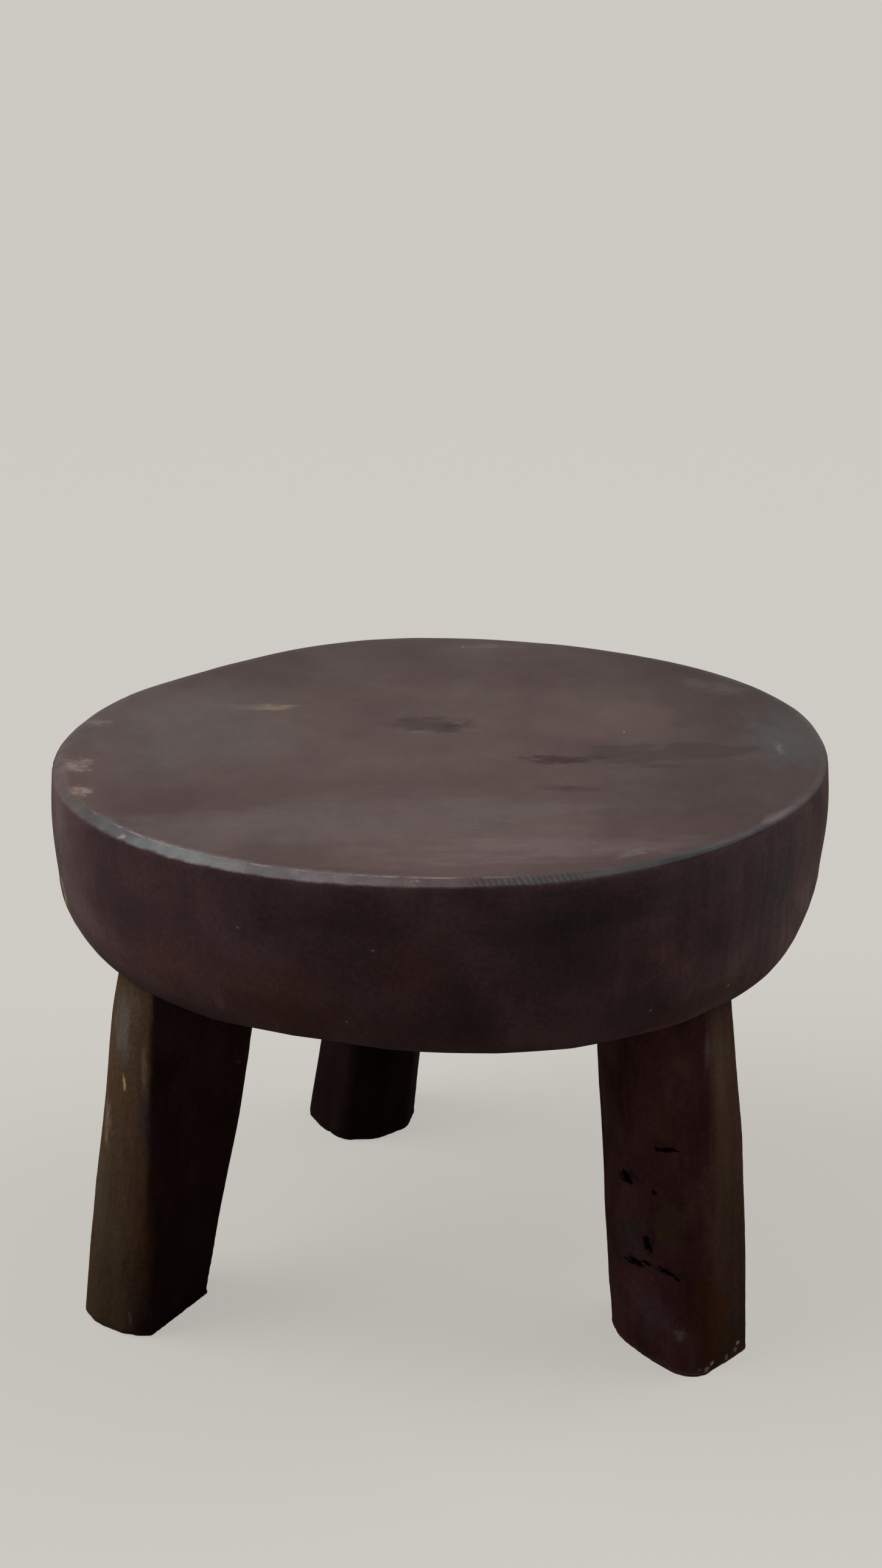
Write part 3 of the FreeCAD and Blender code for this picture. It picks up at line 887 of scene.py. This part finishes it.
def waxedIroko():
    # Iroko gone dark, waxed and rubbed by years of sitting: a cloudy mauve brown with a soft sheen
    # on top, drier and blotched on the side, pale where the bevelled rim has worn. Light and shade are
    # painted on parts of the top, the side and the rim.
    s = seatShape
    material, tree, place = newMaterial("waxedIroko")
    depth = addNode(tree, "Attribute", attribute_name="depth").outputs["Fac"]
    inset = addNode(tree, "Attribute", attribute_name="inset").outputs["Fac"]
    where = addNode(tree, "SeparateXYZ", {0: place})

    # Top: soft clouds and faint fibres, which run left to right
    drawn = addNode(tree, "Mapping", {"Vector": place, "Scale": (1, 0.7, 1), "Rotation": (0, 0, 0.5)})
    clouds = addNode(tree, "TexNoise", {
        "Vector": drawn, "Scale": perLength(90 * mm), "Detail": 5, "Roughness": 0.5, "Distortion": 0.3,
    })
    top = addNode(tree, "ValToRGB", {0: clouds}, stops=(
        (0.32, linear("#463635")), (0.50, linear("#4e3d3b")), (0.68, linear("#564542")),
    ))
    top = layMarks(tree, place, top, topMarks)
    fibreSpace = addNode(tree, "Mapping", {"Vector": place, "Scale": (0.06, 1, 1)})
    top = layGrain(tree, top, fibreSpace, 1.8 * mm, 0.965, 1.035)
    top = layGrain(tree, top, drawn, 12 * mm, 0.92, 1.08, 5)
    top = layGrain(tree, top, place, 1.5 * mm, 0.9, 1.1)

    # painted shade: darker towards the back and towards the right, where less light falls
    for axis, start, end, least in ((1, -20 * mm, 190 * mm, 0.62), (0, 60 * mm, 190 * mm, 0.7)):
        darker = addNode(tree, "MapRange", {
            "Value": where.outputs[axis], "From Min": start, "From Max": end, "To Min": 1.0, "To Max": least,
        })
        top = addNode(tree, "VectorMath", {0: top, "Scale": darker}, operation="SCALE")

    # Side: blotched, with faint streaks that run down it at the right
    blotches = addNode(tree, "TexNoise", {
        "Vector": place, "Scale": perLength(48 * mm), "Detail": 5, "Roughness": 0.55, "Distortion": 0.5,
    })
    side = addNode(tree, "ValToRGB", {0: blotches}, stops=(
        (0.34, linear("#524242")), (0.50, linear("#604e4d")), (0.66, linear("#6e5c5a")),
    ))
    side = layMarks(tree, place, side, sideMarks)
    grit = ((1.3, 4, 1.0), "#a89a8c", 0.9, {"fray": 0.3})
    side = layMarks(tree, place, side, [(spot, *grit) for spot in gritSpots])
    streakSpace = addNode(tree, "Mapping", {"Vector": place, "Scale": (1, 1, 0.1)})
    streaks = grainTone(tree, streakSpace, 6 * mm, 0.72, 1.2, 5)
    streaked = addNode(tree, "MapRange", {
        "Value": where.outputs[0], "From Min": 50 * mm, "From Max": 130 * mm, "To Min": 0.2, "To Max": 0.9,
    })
    streaks = addNode(tree, "Mix", {0: streaked, 2: 1.0, 3: streaks}, data_type="FLOAT")
    side = addNode(tree, "VectorMath", {0: side, "Scale": streaks}, operation="SCALE")
    side = layGrain(tree, side, place, 2 * mm, 0.82, 1.18)
    # painted shade: the side darkened by bearing, most at the front, which faces away from the lamps
    paintedFrontShade = spun(tree, place, (
        (-180, "#ffffff"), (-158, "#ffffff"), (-142, "#d2c1c4"), (-127, "#bca6ab"), (-100, "#c4adb2"),
        (-60, "#d0b9be"), (-35, "#e8d6da"), (-10, "#faf6f6"), (178, "#f8f4f4"),
    ))
    side = addNode(tree, "Mix", {0: 1.0, 6: side, 7: paintedFrontShade}, data_type="RGBA", blend_type="MULTIPLY")
    # painted light: the side lighter lower down, as if lit by light thrown up from the floor
    paler = addNode(tree, "MapRange", {
        "Value": depth, "From Min": 40 * mm, "From Max": 85 * mm, "To Min": 1.0, "To Max": 1.45,
    })
    side = addNode(tree, "VectorMath", {0: side, "Scale": paler}, operation="SCALE")

    # Rim: the worn bevel, palest at the front left, with rasp marks at the front, and painted light and shade
    wander = addNode(tree, "TexNoise", {
        "Vector": place, "Scale": perLength(11 * mm), "Detail": 5, "Roughness": 0.65,
    })
    ragged = addNode(tree, "Math", {0: wander, 1: -0.5}, operation="ADD")
    roughInset = addNode(tree, "Math", {0: ragged, 1: 9 * mm, 2: inset}, operation="MULTIPLY_ADD")
    roughDepth = addNode(tree, "Math", {0: ragged, 1: 3 * mm, 2: depth}, operation="MULTIPLY_ADD")
    insideRim = addNode(tree, "MapRange", {
        "Value": roughInset, "From Min": s["bevelWidth"] - 2.5 * mm, "From Max": s["bevelWidth"] + 4 * mm,
    }, interpolation_type="SMOOTHSTEP")
    aboveSide = addNode(tree, "MapRange", {
        "Value": roughDepth, "From Min": s["bevelDrop"] + 0.3 * mm, "From Max": s["bevelDrop"] - 0.7 * mm,
    })
    # partly painted light and shade: the rim's tone by bearing, palest at the front left, where light falls
    # on it, and dark grey-green at the front right, in shade
    rim = spun(tree, place, (
        (-180, "#564847"), (-166, "#594b4a"), (-155, "#574b49"), (-145, "#534f4e"), (-138, "#595859"),
        (-130, "#707473"), (-120, "#777674"), (-111, "#665f60"), (-102, "#6d6364"), (-94, "#5c504f"),
        (-86, "#564a49"), (-80, "#4c4a4a"), (-72, "#4c4847"), (-66, "#3f3c3c"), (-58, "#353838"),
        (-53, "#414545"), (-48, "#4c4646"), (-43, "#434646"), (-38, "#52494a"), (-32, "#504747"),
        (-25, "#443b3c"), (-14, "#403839"), (0, "#484443"), (20, "#484545"), (60, "#4a4041"),
        (110, "#463b3b"), (178, "#534746"),
    ))
    rim = layGrain(tree, rim, place, 9 * mm, 0.78, 1.22, 5)
    flecks = addNode(tree, "TexNoise", {
        "Vector": place, "Scale": perLength(5 * mm), "Detail": 5, "Roughness": 0.7,
    })
    bare = addNode(tree, "MapRange", {
        "Value": flecks, "From Min": 0.58, "From Max": 0.7, "To Min": 0.0, "To Max": 0.4,
    })
    wearing = spun(tree, place, (
        (-180, "#303030"), (-150, "#606060"), (-140, "#ffffff"), (-90, "#ffffff"), (-78, "#383838"),
        (-50, "#202020"), (-30, "#606060"), (0, "#202020"), (178, "#202020"),
    ))
    wearing = addNode(tree, "SeparateColor", {0: wearing})
    bareShare = addNode(tree, "Math", {0: bare, 1: wearing}, operation="MULTIPLY")
    rim = addNode(tree, "Mix", {0: bareShare, 6: rim, 7: linear("#9c9794")}, data_type="RGBA")
    rasp = addNode(tree, "Mapping", {"Vector": place, "Rotation": (0, 0, math.radians(-28))})
    cuts = addNode(tree, "TexWave", {
        "Vector": rasp, "Scale": 0.314 * perLength(2.6 * mm), "Distortion": 1.2, "Detail": 2,
        "Detail Scale": 1.5,
    }, wave_type="BANDS", bands_direction="X")
    rasped = markMask(tree, place, (37, -194, 290), (35, 10, 9), 0.6, fray=0.3, core=0.6)
    raspShare = addNode(tree, "Math", {0: cuts.outputs["Fac"], 1: rasped}, operation="MULTIPLY")
    rim = addNode(tree, "Mix", {0: raspShare, 6: rim, 7: linear("#2f2726")}, data_type="RGBA")
    worn = addNode(tree, "Mix", {0: insideRim, 6: rim, 7: top}, data_type="RGBA")
    fromCrest = addNode(tree, "Math", {0: inset, 1: s["bevelWidth"]}, operation="SUBTRACT")
    crest = addNode(tree, "MapRange", {
        "Value": addNode(tree, "Math", {0: fromCrest}, operation="ABSOLUTE"),
        "From Min": 0.9 * mm, "From Max": 0.2 * mm,
    })
    patches = addNode(tree, "MapRange", {
        "Value": wander, "From Min": 0.47, "From Max": 0.58, "To Min": 0.0, "To Max": 0.6,
    })
    crestShare = addNode(tree, "Math", {0: crest, 1: patches}, operation="MULTIPLY")
    crestShare = addNode(tree, "Math", {0: crestShare, 1: wearing}, operation="MULTIPLY")
    worn = addNode(tree, "Mix", {0: crestShare, 6: worn, 7: linear("#978c8a")}, data_type="RGBA")
    worn = layMarks(tree, place, worn, rimMarks)
    colour = addNode(tree, "Mix", {0: aboveSide, 6: side, 7: worn}, data_type="RGBA")

    # Underside: left rough from the adze, dry and darker
    below = addNode(tree, "MapRange", {
        "Value": depth, "From Min": s["thickness"] - 2 * mm, "From Max": s["thickness"] - 0.3 * mm,
    })
    raw = addNode(tree, "ValToRGB", {0: blotches}, stops=(
        (0.34, linear("#35261f")), (0.66, linear("#4e3a2e")),
    ))
    colour = addNode(tree, "Mix", {0: below, 6: colour, 7: raw}, data_type="RGBA")
    colour = addNode(tree, "Mix", {
        0: specks(tree, place, 14 * mm, 0.7 * mm, 0.08), 6: colour, 7: linear("#a4988c"),
    }, data_type="RGBA")

    gloss = addNode(tree, "MapRange", {
        "Value": clouds, "From Min": 0.3, "From Max": 0.7, "To Min": 0.64, "To Max": 0.5,
    })
    rough = addNode(tree, "Mix", {0: aboveSide, 2: 0.74, 3: gloss}, data_type="FLOAT")
    bumps = addNode(tree, "TexNoise", {
        "Vector": place, "Scale": perLength(2.2 * mm), "Detail": 5, "Roughness": 0.65,
    })
    finishWood(tree, colour, rough, 0.14, bumps, 0.5, 0.14 * mm)
    return material


# Marks on the legs: bleached streaks, stains, a strip of painted shade and the bare chips at the front right
# sole
legMarks = (
    ((-157, -113, 182), (17, 13, 34), "#605953", 0.8),
    ((-172, -103, 60), (14, 16, 60), "#544a3b", 0.5),
    ((-150, -120, 60), (12, 12, 70), "#563723", 0.6),
    # painted shade: a darker strip on the lit side of the front left leg's arris, where the light turns away
    ((-147, -119, 130), (6, 8, 34), "#3a2e34", 0.6),
    ((-146, -120, 158), (3, 4, 26), "#776957", 0.5, {"lobes": 2.4}),
    ((-158, -114, 148), (1.3, 3, 6), "#c9ac7c", 0.8, {"fray": 0.8}),
    ((-170, -103, 121), (6, 6, 18), "#80725f", 0.6, {"lobes": 2.6}),
    ((92, -131, 66), (22, 18, 26), "#3a3937", 0.6),
    ((96, -130, 104), (10, 9, 14), "#3a3835", 0.4),
    ((112, -144, 86), (15, 12, 18), "#4b3a24", 0.65),
    ((110, -142, 138), (12, 12, 22), "#4a3122", 0.35),
    ((106, -138, 30), (20, 18, 24), "#5c4247", 0.6),
    ((138, -148, 28), (24, 16, 44), "#482b10", 0.8),
    ((140, -134, 165), (14, 18, 34), "#55483e", 0.4),
    ((128, -137, 172), (2, 3, 22), "#85706a", 0.6, {"fray": 0.6}),
    ((120, -149, 24), (5, 5, 6), "#86706a", 0.6, {"lobes": 2.4}),
    ((110, -148, 128), (13, 12, 4), "#180e0e", 0.5),
    ((92, -132, 104), (9, 12, 8), "#120b0b", 0.65),
    ((103, -141, 72), (7, 12, 10), "#140c0c", 0.55),
    ((98, -137, 57), (12, 12, 6), "#140c0c", 0.6),
    ((113, -148, 59), (10, 12, 5), "#180e0e", 0.5),
    ((-102, -101, 153), (1.6, 3, 2), "#5d4a44", 0.7, {"fray": 0.4}),
    ((-162, -116, 12), (1.6, 3, 6), "#7f7161", 0.6, {"fray": 0.8}),
)
chipSpots = (
    (131, -151, 4), (135, -148, 3), (138, -146, 5), (147, -138, 3), (152, -133, 4), (153, -131, 7),
)


def hewnIroko():
    # The same wood on the legs, left from the knife: dry, maroon brown, golden brown where light
    # and handling have bleached it, drawn out in streaks along the leg. On the front legs that side is
    # the lit one, so its golden brown is partly painted light.
    material, tree, place = newMaterial("hewnIroko")
    grain = addNode(tree, "Attribute", attribute_name="grain").outputs["Vector"]
    turned = addNode(tree, "Attribute", attribute_name="bleachedAndLitSide").outputs["Fac"]
    curve = addNode(tree, "Attribute", attribute_name="curve").outputs["Fac"]
    long = addNode(tree, "Mapping", {"Vector": grain, "Scale": (1, 1, 0.5)})
    clouds = addNode(tree, "TexNoise", {
        "Vector": long, "Scale": perLength(26 * mm), "Detail": 6, "Roughness": 0.6, "Distortion": 0.4,
    })
    base = addNode(tree, "ValToRGB", {0: clouds}, stops=(
        (0.32, linear("#321c1c")), (0.50, linear("#402624")), (0.68, linear("#4d332f")),
    ))
    # how pale each leg's wood is; the back leg's low value is painted shade from the seat above it
    palenessAndShade = addNode(tree, "Attribute", attribute_name="palenessAndShade").outputs["Fac"]
    base = addNode(tree, "VectorMath", {0: base, "Scale": palenessAndShade}, operation="SCALE")
    # partly painted light: on the front legs the golden brown side is the one the lamps light
    bleachAndLitNoise = addNode(tree, "TexNoise", {"Vector": long, "Scale": perLength(16 * mm), "Detail": 5})
    bleachAndLitShare = addNode(tree, "Math", {0: bleachAndLitNoise, 1: turned}, operation="ADD")
    bleachAndLitMask = addNode(tree, "MapRange", {
        "Value": bleachAndLitShare, "From Min": 1.0, "From Max": 1.35, "To Max": 0.9,
    })
    bleachAndLitTone = addNode(tree, "Attribute", attribute_name="bleachAndLitTone").outputs["Fac"]
    bleachedAndLitSide = addNode(tree, "VectorMath", {0: linear("#533f2e")[:3], "Scale": bleachAndLitTone}, operation="SCALE")
    colour = addNode(tree, "Mix", {0: bleachAndLitMask, 6: base, 7: bleachedAndLitSide}, data_type="RGBA")
    edge = addNode(tree, "MapRange", {"Value": curve, "From Min": 0.04, "From Max": 0.16, "To Max": 0.3})
    colour = addNode(tree, "Mix", {0: edge, 6: colour, 7: linear("#6a574c")}, data_type="RGBA")
    colour = layMarks(tree, place, colour, legMarks)
    chip = ((2, 3, 2), "#cdbfab", 0.95, {"fray": 0.9, "lobes": 2.0})
    colour = layMarks(tree, place, colour, [(spot, *chip) for spot in chipSpots])
    fibreSpace = addNode(tree, "Mapping", {"Vector": grain, "Scale": (1, 1, 0.06)})
    colour = layGrain(tree, colour, fibreSpace, 2 * mm, 0.91, 1.09, 4)
    colour = layGrain(tree, colour, grain, 2 * mm, 0.82, 1.18)
    # the legs darker towards the floor and lighter towards the seat
    height = addNode(tree, "SeparateXYZ", {0: place}).outputs[2]
    darkerLow = addNode(tree, "MapRange", {
        "Value": height, "From Min": 0, "From Max": 0.9 * legShape["shoulder"], "To Min": 0.6, "To Max": 1.2,
    })
    colour = addNode(tree, "VectorMath", {0: colour, "Scale": darkerLow}, operation="SCALE")
    bumps = addNode(tree, "TexNoise", {"Vector": long, "Scale": perLength(2.2 * mm), "Detail": 5})
    rough = addNode(tree, "MapRange", {
        "Value": clouds, "From Min": 0.3, "From Max": 0.7, "To Min": 0.82, "To Max": 0.66,
    })
    finishWood(tree, colour, rough, 0.05, bumps, 0.6, 0.25 * mm)
    return material


def rottedIroko():
    # Wood that rot has eaten away: crumbly, all but black in its hollows
    material, tree, place = newMaterial("rottedIroko")
    crumbs = addNode(tree, "TexNoise", {"Vector": place, "Scale": perLength(1.2 * mm), "Detail": 5})
    colour = addNode(tree, "ValToRGB", {0: crumbs}, stops=(
        (0.35, linear("#060404")), (0.7, linear("#1d1411")),
    ))
    finishWood(tree, colour, 0.95, 0.1, crumbs, 0.8, 0.5 * mm)
    return material


def rivenIroko():
    # A wedge split from fresh wood and never finished: golden, with coarse straight fibres
    material, tree, place = newMaterial("rivenIroko")
    fibreSpace = addNode(tree, "Mapping", {"Vector": place, "Scale": (1, 1, 0.08)})
    fibres = addNode(tree, "TexNoise", {
        "Vector": fibreSpace, "Scale": perLength(1.4 * mm), "Detail": 4,
    })
    colour = addNode(tree, "ValToRGB", {0: fibres}, stops=(
        (0.3, linear("#6d4a2a")), (0.7, linear("#a0774a")),
    ))
    finishWood(tree, colour, 0.8, 0.5, fibres, 0.7, 0.3 * mm)
    return material


# The floor's colour, the one it throws back on the stool and the backdrop's, how far off the floor
# has turned into the backdrop, and how much of its plain tone shows in the floor near the stool
stage = {
    "floor": "#d6d4cf",
    "thrown": "#6f6c69",
    "backdrop": "#cdcac3",
    "near": 0.8,
    "far": 5.0,
    "lift": 0.72,
}


def paleFloor():
    # Matt pale floor that runs into the backdrop. Near the stool it shows the camera over a quarter of
    # its shadows' depth, and a darker colour holds down the light that it throws back on the stool.
    material, tree, place = newMaterial("matPaleFloor")
    seen = addNode(tree, "LightPath").outputs["Is Camera Ray"]
    shown, thrown = linear(stage["floor"]), linear(stage["thrown"])
    colour = addNode(tree, "Mix", {0: seen, 6: thrown, 7: shown}, data_type="RGBA")
    matt = addNode(tree, "BsdfDiffuse", {"Color": colour})
    away = addNode(tree, "VectorMath", {0: place}, operation="LENGTH")
    far = addNode(tree, "MapRange", {
        "Value": away, "From Min": stage["near"], "From Max": stage["far"],
        "To Min": stage["lift"], "To Max": 1.0,
    }, interpolation_type="SMOOTHSTEP")
    share = addNode(tree, "Math", {0: far, 1: seen}, operation="MULTIPLY")
    plain = addNode(tree, "Emission", {"Color": linear(stage["backdrop"]), "Strength": 1.0})
    mixed = addNode(tree, "MixShader", {0: share, 1: matt, 2: plain})
    addNode(tree, "OutputMaterial", {0: mixed})
    return material


seatWood = waxedIroko()
legWood = hewnIroko()
checkWood = rottedIroko()
wedgeWood = rivenIroko()
print("materials made")

# Joinery: the shoulders are scribed to the seat, then the tenons join the legs

seat.data.materials.append(seatWood)
for key, piece in legPieces.items():
    leg = legs[key]
    piece.data.materials.append(legWood)
    piece.data.materials.append(checkWood)
    bleachedAndLitSide = levelDirection(leg["bleachedAndLitSide"]) * leg["bleachAndLitStrength"]
    keep(piece, "bleachedAndLitSide", [vertex.normal.dot(bleachedAndLitSide) for vertex in piece.data.vertices])
    for share in ("palenessAndShade", "bleachAndLitTone"):
        keep(piece, share, [leg[share]] * len(piece.data.vertices))
    keep(piece, "curve", edgeCurve(piece))
for lump in hollows:
    lump.data.materials.append(legWood)
    lump.data.materials.append(checkWood)
    for face in lump.data.polygons:
        face.material_index = 1
    carve(legPieces["front_right"], lump)
for key, leg in legs.items():
    piece = legPieces[key]
    carve(piece, duplicate(seat, "seatForm"))
    carve(piece, makeTenon(leg), "UNION")
    carve(seat, makeMortise(leg))
    grain = []  # places measured from the leg's middle, shifted so that no two legs look alike
    for vertex in piece.data.vertices:
        middle = legMiddle(leg, vertex.co.z)
        grain.extend((vertex.co.x - middle.x + leg["seed"], vertex.co.y - middle.y, vertex.co.z))
    keep(piece, "grain", grain, "FLOAT_VECTOR")
for piece in [seat, *legPieces.values()]:
    only(piece)
    bpy.ops.object.shade_smooth_by_angle(angle=math.radians(40))
print("joints cut")

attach(seat, "root")
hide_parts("seat")
for key, piece in legPieces.items():
    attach(piece, "root")
    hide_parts("leg_" + key)
    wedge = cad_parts["wedge_" + key]
    for slot in wedge.material_slots:
        slot.material = wedgeWood

# Stage, light and camera

floor = begin("floor", bpy.ops.mesh.primitive_plane_add, size=40)
floor.data.materials.append(paleFloor())

world = bpy.data.worlds.new("studio")
bpy.context.scene.world = world
world.use_nodes = True
sky = world.node_tree
sky.nodes.clear()
rays = addNode(sky, "LightPath")
seen = rays.outputs["Is Camera Ray"]
for kind in ("Is Glossy Ray", "Is Transmission Ray"):
    seen = addNode(sky, "Math", {0: seen, 1: rays.outputs[kind]}, operation="MAXIMUM")
fill = addNode(sky, "Background", {"Color": linear("#ffffff"), "Strength": 0.12})
backdrop = addNode(sky, "Background", {"Color": linear(stage["backdrop"]), "Strength": 1.0})
mixed = addNode(sky, "MixShader", {0: seen, 1: fill, 2: backdrop})
addNode(sky, "OutputWorld", {"Surface": mixed})


def addSun(name, azimuth, height, strength, spread):
    bpy.ops.object.select_all(action="DESELECT")
    bpy.ops.object.light_add(type="SUN")
    sun = bpy.context.object
    sun.name = name
    away = levelDirection(azimuth) * math.cos(math.radians(height))
    away.z = math.sin(math.radians(height))
    sun.rotation_mode = "QUATERNION"
    sun.rotation_quaternion = away.to_track_quat("Z", "Y")
    sun.data.energy = strength
    sun.data.angle = math.radians(spread)


addSun("overhead", 90, 80, 0.55, 60)
addSun("left", 184, 46, 1.85, 45)
addSun("right", 12, 46, 1.0, 45)

# The camera fitted to the seat's rim and the soles, with its picture's height and focal length in pixels
view = {
    "place": (0, -1.0089, 0.6232),
    "pitch": 19.504,
    "pictureHeight": 2576,
    "focalPixels": 3300,
    "sensorHeight": 36,
}
bpy.ops.object.select_all(action="DESELECT")
bpy.ops.object.camera_add(location=view["place"], rotation=(math.radians(90 - view["pitch"]), 0, 0))
camera = bpy.context.object
camera.data.sensor_fit = "VERTICAL"
camera.data.sensor_height = view["sensorHeight"]
camera.data.lens = view["focalPixels"] / view["pictureHeight"] * view["sensorHeight"]
bpy.context.scene.camera = camera
bpy.context.scene.view_settings.view_transform = "Standard"

print("done")
